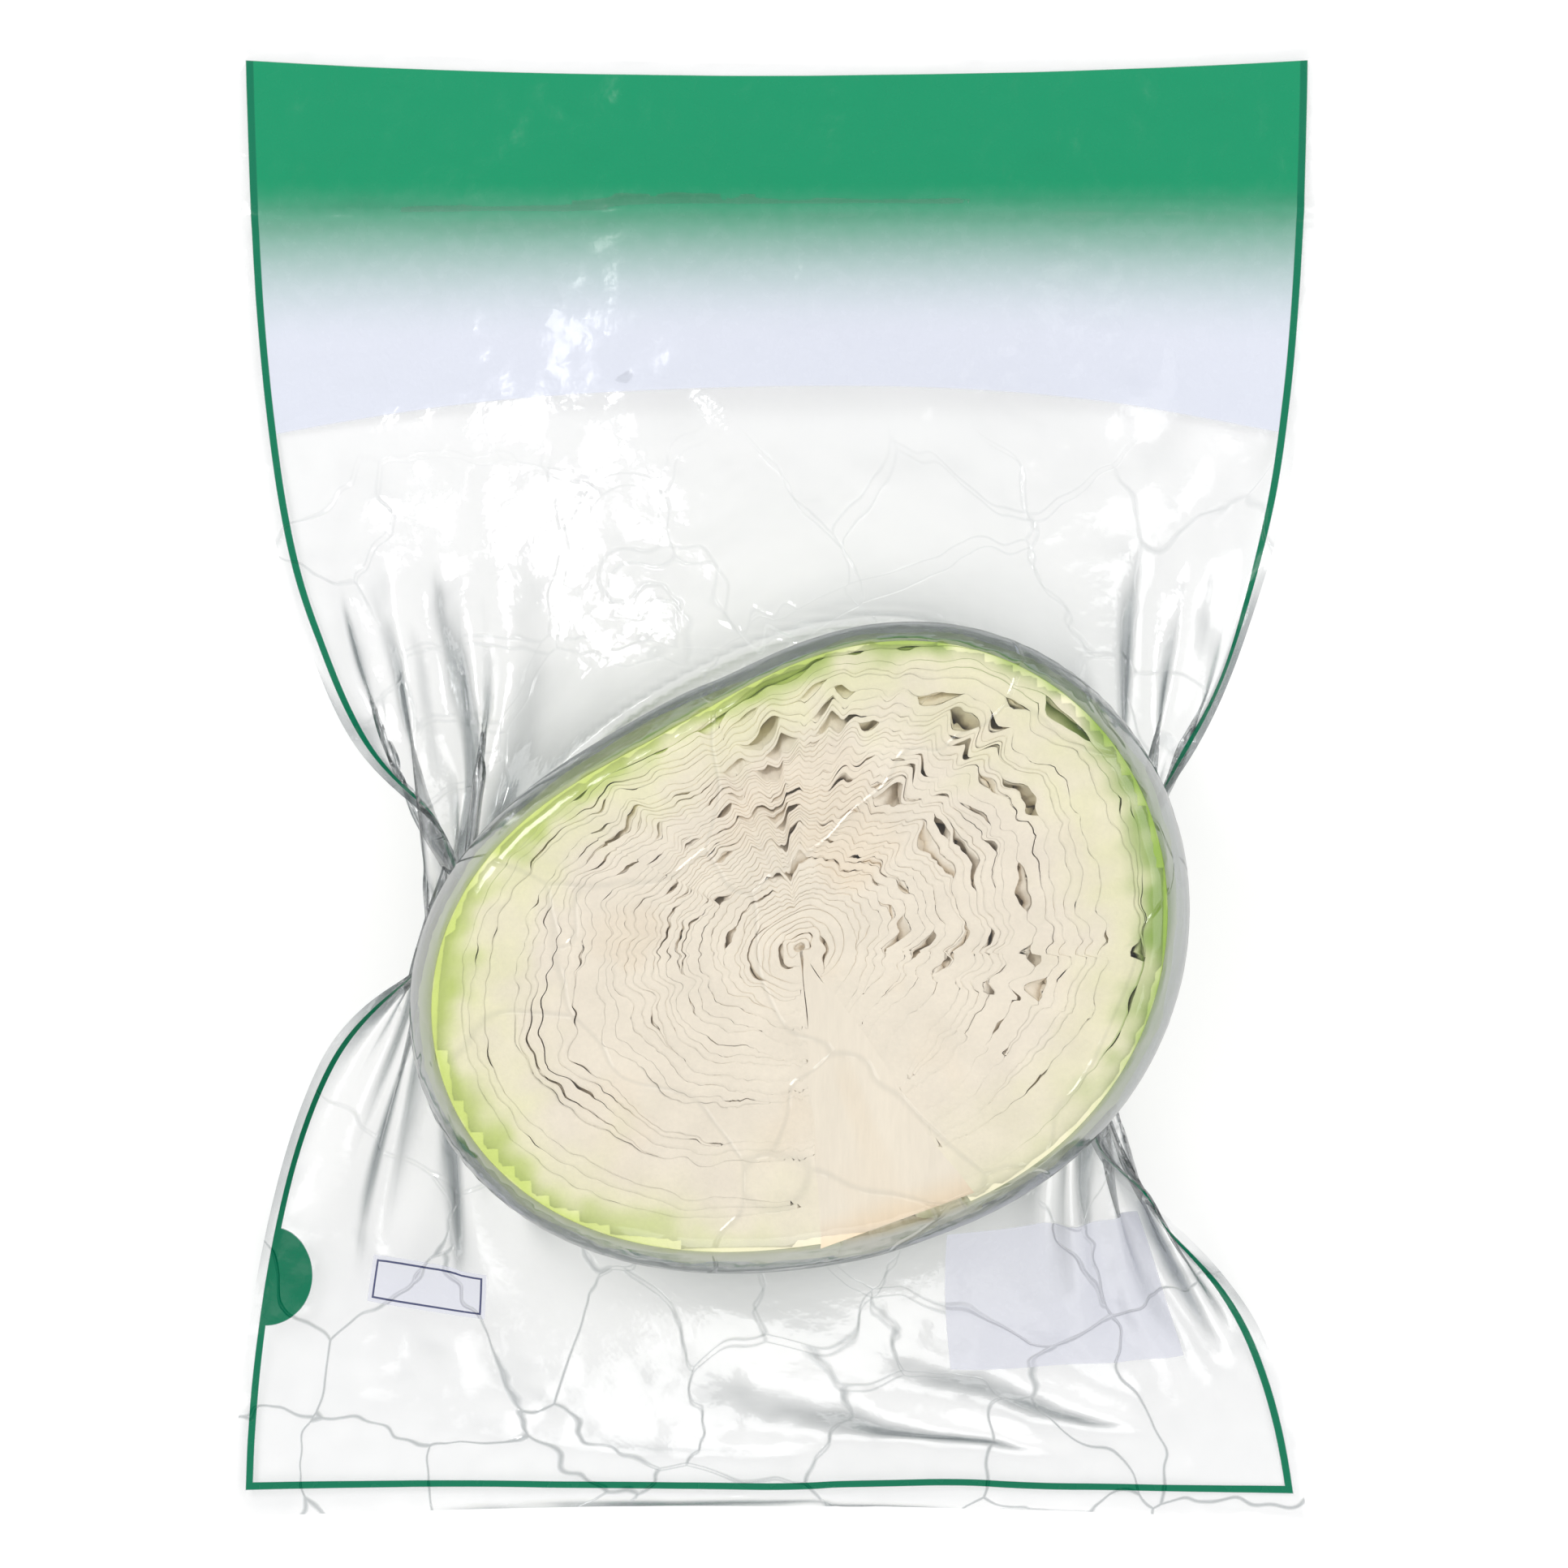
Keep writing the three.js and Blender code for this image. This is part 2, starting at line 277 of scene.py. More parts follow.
def head_radius(way):
    """How far the head reaches along these directions."""
    side = np.hypot(way[..., 0], way[..., 2])
    left = np.where(way[..., 0] <= 0, -1, 1)
    across = outline_radius(np.arctan2(way[..., 1], left * side))
    along = outline_radius(np.where(way[..., 1] <= 0, -math.pi / 2, math.pi / 2))
    deep = 1 / np.hypot(side / HEAD_DEPTH, way[..., 1] / along)
    sideways = np.abs(way[..., 0]) / np.maximum(side, 1e-9)
    downwards = np.abs(way[..., 2]) / np.maximum(side, 1e-9)
    full = 1 / np.hypot(sideways / across, downwards / deep)
    drop = np.abs(way[..., 2])
    tucked = full * (1 - EDGE_TUCK * np.exp(-((drop / TUCK_REACH) ** 2)))
    return np.minimum(tucked, RESTING_DEPTH / np.maximum(drop, 1e-6))


way_grid = toward(polar_grid, turn_grid)
radius_grid = head_radius(way_grid)


def root_offset(leaf, turn):
    """Degrees round the core from the leaf's rib, from -180 to 180."""
    return (turn - FIRST_ROOT - leaf * GOLDEN_ANGLE + 180) % 360 - 180


def margin_polar(leaf, turn):
    away = smooth_step(np.abs(root_offset(leaf, turn)), ROOT_HALF_WIDTH, 180)
    wavy = noise(np.stack([turn, 0 * turn, 0 * turn + 40 * leaf], -1), 14.0, 9)
    return 14 + (FAR_MARGIN - 14 + 9 * wavy) * away


def stack(first, count, from_share, to_share):
    """Inner and outer radius of leaves that together fill the head between two shares of its radius."""
    leaves = range(first, first + count)
    margins = np.array([margin_polar(leaf, turn_grid) for leaf in leaves])
    present = polar_grid >= margins
    weights = np.zeros(present.shape)
    gaps = np.zeros(present.shape)
    for i, leaf in enumerate(leaves):
        age = max(leaf, 0) / LEAF_COUNT
        size = radius_grid[..., None] * way_grid * (from_share + (to_share - from_share) * (i + 0.5) / count)
        up = (polar_grid - 15) / (RIB_REACH * (0.6 + 0.9 * age))
        rib = np.exp(-up - (root_offset(leaf, turn_grid) / RIB_SPREAD) ** 2)
        blade = 0.05 + 0.95 * smooth_step(polar_grid, margins[i], margins[i] + 18)
        uneven = 1 + 0.6 * noise(size, 13.0, leaf) + 0.35 * noise(size, 4.0, leaf + 40)
        stout = RIB_WEIGHT * (1 + 0.9 * lattice[leaf % 32, 11, 3])
        weights[i] = (0.7 + 0.5 * age) * (blade * uneven + stout * rib)
        open_side = smooth_step(size[..., 0] + 0.5 * size[..., 1], -40, 70)
        loose = smooth_step(polar_grid, 22, 60) * (1 - 0.8 * np.clip(1.6 * rib, 0, 1))
        pocket = np.maximum(0, noise(size, 8.0, leaf + 80) - 0.52 + 0.14 * open_side)
        pocket *= 2.0 + 9.0 * open_side
        slit = np.maximum(0, noise(size, 22.0, leaf + 120) - 0.42) * 0.9
        gaps[i] = loose * (LEAST_GAP + pocket + slit)
    weights = np.maximum(weights, 0.03) * present
    gaps *= present
    share = (radius_grid * (to_share - from_share) - gaps.sum(0)) / weights.sum(0)
    outer = radius_grid * from_share + np.cumsum(weights * share + gaps, 0)
    return present, outer - weights * share, outer


top_leaf = LEAF_COUNT - 1 - np.argmax(
    np.array([polar_grid >= margin_polar(leaf, turn_grid) for leaf in range(LEAF_COUNT)])[::-1], 0
)
side_angle = root_offset(top_leaf, turn_grid)


def vein_ridge():
    """Height of the midrib and side veins on the outermost leaf at each direction, from 0 to 1."""
    across = np.abs(side_angle) * np.sin(np.radians(np.minimum(polar_grid, 90)))
    midrib = np.exp(-((across / (9 - 5.5 * smooth_step(polar_grid, 20, 120))) ** 2))
    branch = (polar_grid * 1.15 - across * 0.9 + 3 * noise(60 * way_grid, 16.0, 61)) / 13
    side = np.abs((branch % 1) - 0.5) * 2
    side = smooth_step(side, 0.72, 1.0) * smooth_step(across, 4, 12) * (1 - smooth_step(across, 70, 120))
    return np.maximum(midrib * (1 - 0.75 * smooth_step(polar_grid, 30, 150)), 0.42 * side)


veins = vein_ridge()


def crumpled(radius):
    """The folds that run through many leaves at once, and die out at the head's outside."""
    spot = radius[..., None] * way_grid
    depth = radius / radius_grid
    free = 4 * depth * (1 - depth) * smooth_step(polar_grid, 20, 60)
    wild = 0.25 + 0.75 * smooth_step(spot[..., 0] + 0.5 * spot[..., 1], -40, 60)
    big = 3.6 * noise(spot, 36.0, 1)
    middling = 1.6 * wild * noise(spot, 11.0, 2)
    small = 0.4 * wild * noise(spot, 4.5, 3)
    skin = smooth_step(depth, 0.93, 1.0)
    relief = skin * (1.5 * veins - 1.5 + 0.9 * noise(spot, 13.0, 4) - 0.9)
    return radius + free * (big + middling + small) + relief * smooth_step(turn_grid, 0, 8) * smooth_step(
        180 - turn_grid, 0, 8
    )


leaf_material = plant_material("leaf flesh", 900.0, 0.25, 0.4)
ACROSS = np.array([0.07, 0.35, 0.65, 0.93])
ACROSS_FUSED = np.array([0.004, 0.35, 0.65, 0.996])
RIM_DEPTH = 0.16


def norm(points):
    return np.maximum(np.linalg.norm(points, axis=-1), 1e-6)


def leaf_tint(points, age, surface):
    """Cream at the heart and the ribs, yellow towards the outside, green on the outermost leaves."""
    reach = norm(points)
    depth = reach / head_radius(points / reach[:, None])
    foot = smooth_step(np.degrees(np.arccos(np.clip(-points[:, 1] / reach, -1, 1))), 18, 70)
    mottle = 0.12 * noise(points, 16.0, 21) + 0.06 * noise(points, 5.0, 22)
    peach = 0.55 * smooth_step(noise(points, 21.0, 23) + 0.5 * noise(points, 7.0, 24), 0.0, 0.8) * (1 - depth)
    colour = CREAM + (PEACH - CREAM) * peach[:, None]
    yellow = smooth_step(depth + mottle, 0.64, 1.03) * (0.3 + 0.7 * foot)
    colour = colour + (YELLOW - colour) * yellow[:, None]
    green = smooth_step(depth + 0.5 * mottle, 0.9, 1.0) * (0.35 + 0.65 * foot) * smooth_step(age, 0.5, 0.9)
    green = np.maximum(green, surface[:, 1] * smooth_step(depth, 0.9, 0.95) * smooth_step(age, 0.7, 0.9))
    green *= 0.45 + 0.55 * smooth_step(foot, 0, 1)
    skin = GREEN + (DEEP_GREEN - GREEN) * smooth_step(points[:, 0] + 130 * mottle, -10, 100)[:, None] * 0.8
    colour = colour + (skin - colour) * green[:, None]
    pale = YELLOW * 0.5 + CREAM * 0.5
    return colour + (pale - colour) * (0.75 * surface[:, 0] * smooth_step(depth, 0.9, 0.97))[:, None]


def leaf_mesh(leaf, here, inside, outside, rows, columns):
    """One cupped shell with a cut edge on both sides of the core: its points and its faces, and for each
    point the height of the veins there and whether it is on the leaf's outer side."""
    pick = np.ix_(rows, columns)
    here, inside, outside = here[pick], inside[pick], outside[pick]
    way, ridge, angle = way_grid[pick], veins[pick], polar[rows]
    width = len(columns)
    shells = [outside[..., None] * way, inside[..., None] * way]
    fade = smooth_step(angle + 10 * noise(shells[0][:, 0], 9.0, 5), 22, 58)[:, None]
    for shell in shells:
        shell[:, [0, -1], 2] = -0.03 - RIM_DEPTH * fade
    blocks = [shell.reshape(-1, 3) for shell in shells]
    count = len(rows) * width
    edge_height = 0.09 * lattice[leaf % 32, 5, 9]
    strip_ids = []
    spread = ACROSS + (ACROSS_FUSED - ACROSS) * (1 - fade)
    for column in (0, width - 1):
        start = sum(len(block) for block in blocks)
        cut = inside[:, column, None] + (outside - inside)[:, column, None] * spread
        strip = cut[..., None] * way[:, column, None, :]
        fold = 0.07 * noise(strip, 3.5, 30 + leaf)
        strip[..., 2] = (edge_height + fold - 0.03 * (np.abs(ACROSS - 0.5) > 0.3)) * fade - 0.02
        blocks.append(strip.reshape(-1, 3))
        ids = start + np.arange(len(rows) * len(ACROSS)).reshape(len(rows), -1)
        rim_in = count + np.arange(len(rows)) * width + column
        rim_out = np.arange(len(rows)) * width + column
        strip_ids.append(np.column_stack([rim_in, ids, rim_out]))
    top = sum(len(block) for block in blocks)
    spans = np.concatenate([[0], ACROSS, [1]])
    pole = np.zeros((len(spans), 3))
    pole[:, 1] = inside[-1, 0] + (outside[-1, 0] - inside[-1, 0]) * spans
    pole[:, 2] = np.where((spans > 0) & (spans < 1), edge_height - 0.02, -0.03 - RIM_DEPTH)
    blocks.append(pole)
    points = np.concatenate(blocks)
    surface = np.zeros((len(points), 2))
    surface[:count] = np.stack([ridge.ravel(), np.ones(count)], -1)

    index = np.arange(count).reshape(len(rows), width)
    a, b, c, d = index[:-1, :-1], index[1:, :-1], index[1:, 1:], index[:-1, 1:]
    held = [here[:-1, :-1], here[1:, :-1], here[1:, 1:], here[:-1, 1:]]
    faces = np.stack([a, b, c, d], -1)[held[0] & held[1] & held[2] & held[3]].tolist()
    for missing, corners in ((0, (b, c, d)), (1, (a, c, d)), (2, (a, b, d)), (3, (a, b, c))):
        alone = ~held[missing] & (sum(h.astype(int) for h in held) == 3)
        faces += np.stack(corners, -1)[alone].tolist()
    outer_pole, inner_pole = top + len(spans) - 1, top
    faces += [[int(index[-1, k]), outer_pole, int(index[-1, k + 1])] for k in range(width - 1)]

    def to_inner(vertex):
        return inner_pole if vertex == outer_pole else vertex + count

    walls = [[to_inner(v) for v in face[::-1]] for face in faces]
    used = set()
    for face in faces:
        used.update(zip(face, face[1:] + face[:1]))
    cut_line = set(index[:, 0].tolist()), set(index[:, -1].tolist())
    for start, end in sorted(used):
        on_cut = any({start, end} <= line | {outer_pole} for line in cut_line)
        if (end, start) not in used and not on_cut:
            walls.append([start, to_inner(start), to_inner(end), end])
    for ids, flip in ((strip_ids[0], True), (strip_ids[1], False)):
        shown = np.append(here[:, 0] if flip else here[:, -1], True)
        full = np.vstack([ids, top + np.arange(len(spans))])
        for row in np.nonzero(shown[:-1] & shown[1:])[0]:
            low, high = full[row], full[row + 1]
            for k in range(len(spans) - 1):
                face = [low[k], high[k], high[k + 1], low[k + 1]]
                walls.append([int(v) for v in (face[::-1] if flip else face)])
    faces += walls
    wanted = np.unique(np.concatenate([np.asarray(face) for face in faces]))
    place = np.full(len(points), -1)
    place[wanted] = np.arange(len(wanted))
    return points[wanted], [place[face].tolist() for face in faces], surface[wanted]


present, inner, outer = stack(0, LEAF_COUNT, HEART_SHARE, 1.0)
for leaf in range(LEAF_COUNT):
    is_outer = leaf >= LEAF_COUNT - OUTER_LEAVES
    stride = 2 if is_outer or 10 <= leaf < 22 else 3 if leaf < 10 else 1
    rows = np.arange(0, len(polar), stride)
    columns = np.arange(len(turns)) if is_outer else cut_columns
    shape = present[leaf], crumpled(inner[leaf]), crumpled(outer[leaf])
    points, faces, surface = leaf_mesh(leaf, *shape, rows, columns)
    colours = leaf_tint(points, leaf / (LEAF_COUNT - 1), surface)
    name = f"leaf_{leaf + 1:02d}"
    new_piece(f"{name}_blade", in_frame(points), faces, colours, leaf_material, name)


# ---------------------------------------------------------------------------------------------
# Heart
# The growing point at the core's tip: a tight bud of leaves too young to have opened.
# ---------------------------------------------------------------------------------------------

present, inner, outer = stack(-BUD_LEAVES, BUD_LEAVES, BUD_SHARE, HEART_SHARE)
bud_points, bud_faces = [], []
for bud in range(BUD_LEAVES):
    shape = present[bud], crumpled(inner[bud]), crumpled(outer[bud])
    points, faces, _ = leaf_mesh(bud, *shape, np.arange(0, len(polar), 5), cut_columns)
    start = sum(len(block) for block in bud_points)
    bud_faces += [[start + v for v in face] for face in faces]
    bud_points.append(points)
bud_points = np.concatenate(bud_points)
bud_colours = leaf_tint(bud_points, 0, np.zeros((len(bud_points), 2)))
new_piece("heart_bud", in_frame(bud_points), bud_faces, bud_colours, leaf_material, "heart")


# ---------------------------------------------------------------------------------------------
# Bag
# Two sheets of clear film, heat sealed all round and emptied of air, so that they cling to the head
# and to each other. Only the front sheet is printed: a green header, a thin border and blank labels.
# ---------------------------------------------------------------------------------------------

FLAT_WIDTH = 292.0
FLAT_LENGTH = 408.0
LEFT_SIDE = [
    (-146, -197), (-145, -165), (-138, -122), (-128, -86), (-116, -62), (-88, -44), (-80, -30),
    (-88, -12), (-106, 2), (-117, 16), (-127, 40), (-134, 60), (-140, 95), (-144, 140), (-146, 200),
]  # fmt: skip
RIGHT_SIDE = [
    (143, -198), (140, -175), (133, -152), (125, -137), (108, -118), (86, -102), (80, -84),
    (80, -50), (90, -20), (110, 6), (121, 27), (131, 56), (138, 80), (142, 110), (145, 150), (146, 200),
]  # fmt: skip
TOP_BOW = 5.0
BOTTOM_BOW = 4.0
FILM_LIFT = 0.8
FLOOR_LIFT = 0.3
SHEET_GAP = 0.5
SEAM_HEIGHT = 34.0
ROWS, COLUMNS = 53, 39


def along_route(points, count):
    """Places evenly spaced along a route whose corners are rounded off."""
    route = np.array(points, float)
    for _ in range(3):
        cuts = 0.75 * route[:-1] + 0.25 * route[1:], 0.25 * route[:-1] + 0.75 * route[1:]
        route = np.vstack([route[:1], np.stack(cuts, 1).reshape(-1, 2), route[-1:]])
    run = np.concatenate([[0], np.cumsum(np.linalg.norm(np.diff(route, axis=0), axis=1))])
    wanted = np.linspace(0, run[-1], count)
    return np.stack([np.interp(wanted, run, route[:, axis]) for axis in (0, 1)], -1)


def film_plan(rows, columns):
    """Where each point of the film lies, seen from above, if it were stretched between its sides."""
    left, right = along_route(LEFT_SIDE, rows), along_route(RIGHT_SIDE, rows)
    across = np.linspace(0, 1, columns)
    plan = left[:, None] + (right - left)[:, None] * across[:, None]
    up = np.linspace(0, 1, rows)[:, None]
    plan[..., 1] += 4 * across * (1 - across) * (BOTTOM_BOW * (1 - up) - TOP_BOW * up)
    return plan


def film_start(rows, columns):
    """Both sheets before they are drawn in: a tent over the head and a tray under it."""
    plan = film_plan(rows, columns)
    apart = plan - head_middle
    angle = np.arctan2(apart[..., 1], apart[..., 0]) - LEAN
    share = np.hypot(apart[..., 0], apart[..., 1]) / outline_radius(angle)
    seam = SEAM_HEIGHT * np.clip(1 - (share - 1) / 0.9, 0, 1) ** 1.5 + FLOOR_LIFT
    front = seam + (cut_height + 1 - seam) * (1 - smooth_step(share, 0.95, 1.3))
    round_back = cut_height - HEAD_DEPTH * np.sqrt(np.maximum(0, 1 - share**2)) - 2
    back = np.where(share < 1, np.clip(round_back, FLOOR_LIFT, SEAM_HEIGHT - 2), seam)
    for sheet in (front, back):
        sheet[:, [0, -1]] = seam[:, [0, -1]]
    return np.stack([np.dstack([plan, np.minimum(back, front)]), np.dstack([plan, front])])


def push_out(points):
    """Moves points that are inside the head up through its cut face or out of its nearest side."""
    cos, sin = math.cos(LEAN), math.sin(LEAN)
    x, y = points[..., 0] - head_middle[0], points[..., 1] - head_middle[1]
    spot = np.stack([cos * x + sin * y, cos * y - sin * x, points[..., 2] - cut_height], -1)
    reach = norm(spot)
    way = spot / reach[..., None]
    way[..., 2] = np.minimum(way[..., 2], 0)
    sunk = head_radius(way) + FILM_LIFT - reach
    inside = (spot[..., 2] < FILM_LIFT) & (sunk > 0)
    out = spot / np.array([105.0, 84.0, HEAD_DEPTH]) ** 2
    out[..., 2] += 0.25 * np.exp(-((spot[..., 2] / 14.0) ** 2)) * np.hypot(out[..., 0], out[..., 1])
    out /= norm(out)[..., None]
    sideways = sunk * np.maximum((way * out).sum(-1), 0.3)
    upwards = FILM_LIFT - spot[..., 2]
    spot[..., 2] = np.where(inside & (upwards < sideways), FILM_LIFT, spot[..., 2])
    spot += np.where(inside & (upwards >= sideways), sideways, 0)[..., None] * out
    x = head_middle[0] + cos * spot[..., 0] - sin * spot[..., 1]
    y = head_middle[1] + sin * spot[..., 0] + cos * spot[..., 1]
    return np.stack([x, y, spot[..., 2] + cut_height], -1)


def facing(sheet):
    """Unit normals of a grid of points."""
    out = np.cross(np.gradient(sheet, axis=1), np.gradient(sheet, axis=0))
    return out / norm(out)[..., None]


def keep_lengths(film, lengths, give):
    """Moves neighbouring points together or apart towards the length that the film has between them."""
    shifts = ((0, 1), (1, 0), (1, 1), (1, -1))
    for (down, over), length in zip(shifts, lengths):
        firmness = give if down * over == 0 else give / 3
        for row, column in itertools.product((0, 1) if down else (0,), (0, 1) if over else (0,)):
            step_r, step_c = (2 if down else 1), (2 if over else 1)
            last_r = film.shape[1] - down
            if over >= 0:
                a = np.s_[:, row:last_r:step_r, column : film.shape[2] - over : step_c]
                b = np.s_[:, row + down :: step_r, column + over :: step_c]
                kept = length[:, row::step_r, column::step_c]
            else:
                a = np.s_[:, row:last_r:step_r, column + 1 :: 2]
                b = np.s_[:, row + down :: step_r, column:-1:2]
                kept = length[:, row::step_r, column::2]
            apart = film[b] - film[a]
            span = norm(apart)
            move = (0.5 * firmness * (span - kept) / span)[..., None] * apart
            film[a] += move
            film[b] -= move


def span_lengths(film, ease):
    """Lengths between neighbours, along, across and on both diagonals: at least those of the flat sheet."""
    wide, long = FLAT_WIDTH / (film.shape[2] - 1), FLAT_LENGTH / (film.shape[1] - 1)
    pairs = (
        (film[:, :, 1:] - film[:, :, :-1], wide),
        (film[:, 1:] - film[:, :-1], long),
        (film[:, 1:, 1:] - film[:, :-1, :-1], math.hypot(wide, long)),
        (film[:, 1:, :-1] - film[:, :-1, 1:], math.hypot(wide, long)),
    )
    return [np.maximum(norm(apart) * ease, flat) for apart, flat in pairs]


def soften(film, share):
    film[:, :, 1:-1] += share * ((film[:, :, :-2] + film[:, :, 2:]) / 2 - film[:, :, 1:-1])
    film[:, 1:-1] += share * ((film[:, :-2] + film[:, 2:]) / 2 - film[:, 1:-1])


def draw_in(film, steps, pull, weight, lengths=None, bend=0.0):
    """Pumps the bag out: the sheets close on the head and on each other, and stay out of the head."""
    rows, columns = film.shape[1:3]
    edge = np.ones((rows, columns), bool)
    edge[1:-1, 1:-1] = False
    plan = film_plan(rows, columns)
    edge_height = film_start(rows, columns)[1, ..., 2]
    for _ in range(steps):
        if lengths is None:
            middle = film[:, :-2, 1:-1] + film[:, 2:, 1:-1] + film[:, 1:-1, :-2] + film[:, 1:-1, 2:]
            film[:, 1:-1, 1:-1] += 0.9 * (middle / 4 - film[:, 1:-1, 1:-1])
            film[:, edge, 2] = edge_height[edge]
        else:
            keep_lengths(film, lengths, 0.9)
            soften(film, bend)
        film[..., 2] -= weight
        out = facing(film.mean(0))
        apart = ((film[1] - film[0]) * out).sum(-1)
        move = np.clip(0.5 * (apart - SHEET_GAP), -4 * pull, pull)[..., None] * out
        film[1] -= move
        film[0] += move
        hold = 1.0 if lengths is None else 0.4
        film[:, edge] = film.mean(0)[edge]
        film[:, edge, :2] += hold * (plan[edge] - film[:, edge, :2])
        film[:, edge, 2] += 0.25 * (edge_height[edge] - film[:, edge, 2])
        film = push_out(film)
        film[0, ..., 2] = np.maximum(film[0, ..., 2], FLOOR_LIFT)
        film[1, ..., 2] = np.maximum(film[1, ..., 2], FLOOR_LIFT + SHEET_GAP * ~edge)
        film[1, ..., 2] = np.minimum(film[1, ..., 2], cut_height + FILM_LIFT + 0.6)
        film[0, ..., 2] = np.minimum(film[0, ..., 2], film[1, ..., 2].max())
        film[:, edge] = film.mean(0)[edge]
    return film


def finer(film):
    """The same sheets with a point halfway between every two."""
    for axis in (1, 2):
        film = np.moveaxis(film, axis, 0)
        middle = (film[:-1] + film[1:]) / 2
        middle[1:-1] += (film[1:-2] + film[2:-1] - film[:-3] - film[3:]) / 16
        doubled = np.empty((len(film) + len(middle),) + film.shape[1:])
        doubled[::2], doubled[1::2] = film, middle
        film = np.moveaxis(doubled, 0, axis)
    return film


def halved(lengths, rows, columns):
    """Lengths for the finer sheets: each is half of the one it came from."""
    sizes = ((rows, columns - 1), (rows - 1, columns), (rows - 1, columns - 1), (rows - 1, columns - 1))
    doubled = (np.repeat(np.repeat(length, 2, 1), 2, 2) / 2 for length in lengths)
    return [length[:, : size[0], : size[1]] for length, size in zip(doubled, sizes)]


film = draw_in(film_start(ROWS, COLUMNS), 700, 0.12, 0)
film = draw_in(finer(film), 80, 0.05, 0)
lengths = span_lengths(film, 0.985)
film[..., 2] += np.random.default_rng(5).normal(0, 0.5, film.shape[1:3])
film = draw_in(film, 300, 0.15, 0.02, lengths, 0.2)
film = finer(film)
film = draw_in(film, 80, 0.1, 0.01, halved(lengths, *film.shape[1:3]), 0.15)

flat_down = np.linspace(FLAT_LENGTH, 0, film.shape[1])[:, None]
beside = film.mean(0)
apart = beside[..., :2] - head_middle
outline_there = outline_radius(np.arctan2(apart[..., 1], apart[..., 0]) - LEAN)
clear_of_head = smooth_step(np.hypot(apart[..., 0], apart[..., 1]) / outline_there, 1.1, 1.4)
ripple = 1.6 + 1.4 * noise(beside, 34.0, 71) + 0.8 * noise(beside, 12.0, 72) + 0.35 * noise(beside, 5.0, 73)
header_fold = 1.8 * np.exp(-(((flat_down - 43 - 2 * noise(beside, 40.0, 74)) / 2.4) ** 2))
film[..., 2] += clear_of_head * np.maximum(ripple + header_fold, 0)


